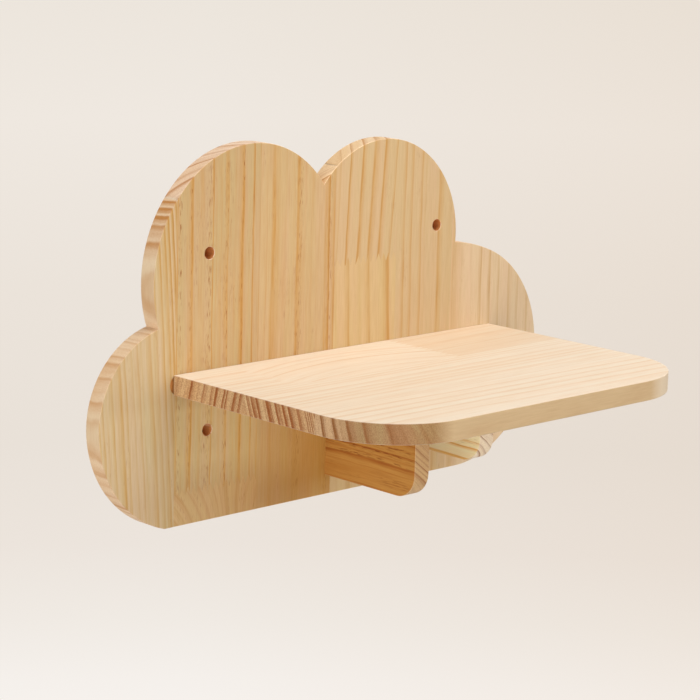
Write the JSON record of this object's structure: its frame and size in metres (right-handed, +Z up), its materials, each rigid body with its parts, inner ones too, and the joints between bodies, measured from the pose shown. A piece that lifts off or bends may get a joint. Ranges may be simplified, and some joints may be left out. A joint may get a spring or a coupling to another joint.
{
  "type": "cat wall shelf",
  "caption": "Wall shelf for a cat: a cloud-shaped pine board on the wall with a flat landing let into its face and short brackets under it.",
  "frame": {"origin": "centre of the four wall holes, on the plane of the wall", "axes": "+X to the right as seen from the room, +Y into the wall, +Z up"},
  "size_m": [0.55, 0.287, 0.336],
  "materials": {
    "board_pine": "sanded, clear satin coat",
    "dark_pine": "sanded, clear satin coat",
    "shelf_pine": "sanded, clear satin coat",
    "bracket_pine": "sanded, clear satin coat",
    "screw_steel": "bright zinc plate",
    "dowel_beech": "turned"
  },
  "bodies": {
    "root": {"board_stave_1": "board_pine", "board_stave_2_upper": "board_pine", "board_stave_2_lower": "dark_pine", "board_stave_3": "board_pine", "board_stave_4_upper": "board_pine", "board_stave_4_lower": "board_pine", "board_stave_5": "board_pine", "board_stave_6": "board_pine", "shelf_rear_left": "shelf_pine", "shelf_rear_middle": "shelf_pine", "shelf_rear_right": "shelf_pine", "shelf_middle": "shelf_pine", "shelf_front": "shelf_pine", "left_bracket": "bracket_pine", "right_bracket": "bracket_pine", "shelf_screws": "screw_steel", "bracket_screws": "screw_steel", "bracket_dowels": "dowel_beech"}
  },
  "joints": []
}
